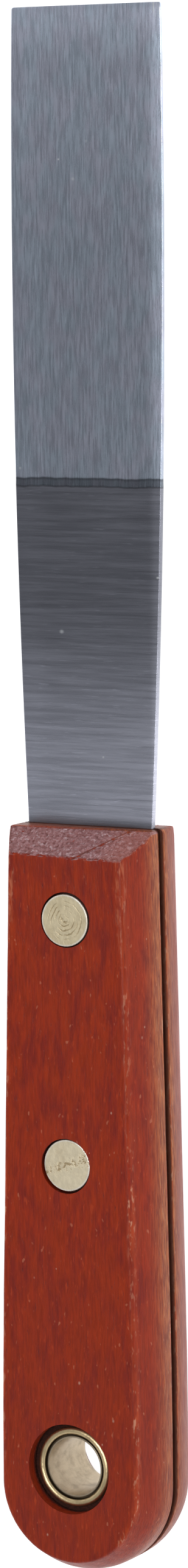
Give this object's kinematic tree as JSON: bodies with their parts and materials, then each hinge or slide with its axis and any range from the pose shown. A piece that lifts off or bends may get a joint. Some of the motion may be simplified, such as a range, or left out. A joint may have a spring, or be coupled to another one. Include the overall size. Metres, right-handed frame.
{
  "type": "flexible putty knife",
  "caption": "Flexible putty knife: a narrow taper-ground spring-steel blade with a full tang, riveted between two wooden handle scales with a brass hanging eyelet.",
  "frame": {"origin": "on the resting plane, under the middle of the overall length and width", "axes": "+X across the blade, +Y from the butt of the handle to the tip of the blade, +Z out of the front face"},
  "size_m": [0.0274, 0.2346, 0.0172],
  "materials": {
    "spring_steel": "ground and brushed",
    "stained_wood": "red-brown stain under thin lacquer",
    "rivet_brass": "turned, slightly dulled",
    "eyelet_brass": "pressed, dulled",
    "eyelet_nickel": "thin nickel wash over brass, satin"
  },
  "bodies": {
    "root": {"blade": "spring_steel", "front_scale": "stained_wood", "back_scale": "stained_wood", "front_rivet_post": "rivet_brass", "front_rivet_socket": "rivet_brass", "rear_rivet_post": "rivet_brass", "rear_rivet_socket": "rivet_brass", "eyelet_sleeve": "eyelet_brass", "eyelet_tube": "eyelet_nickel"}
  },
  "joints": []
}
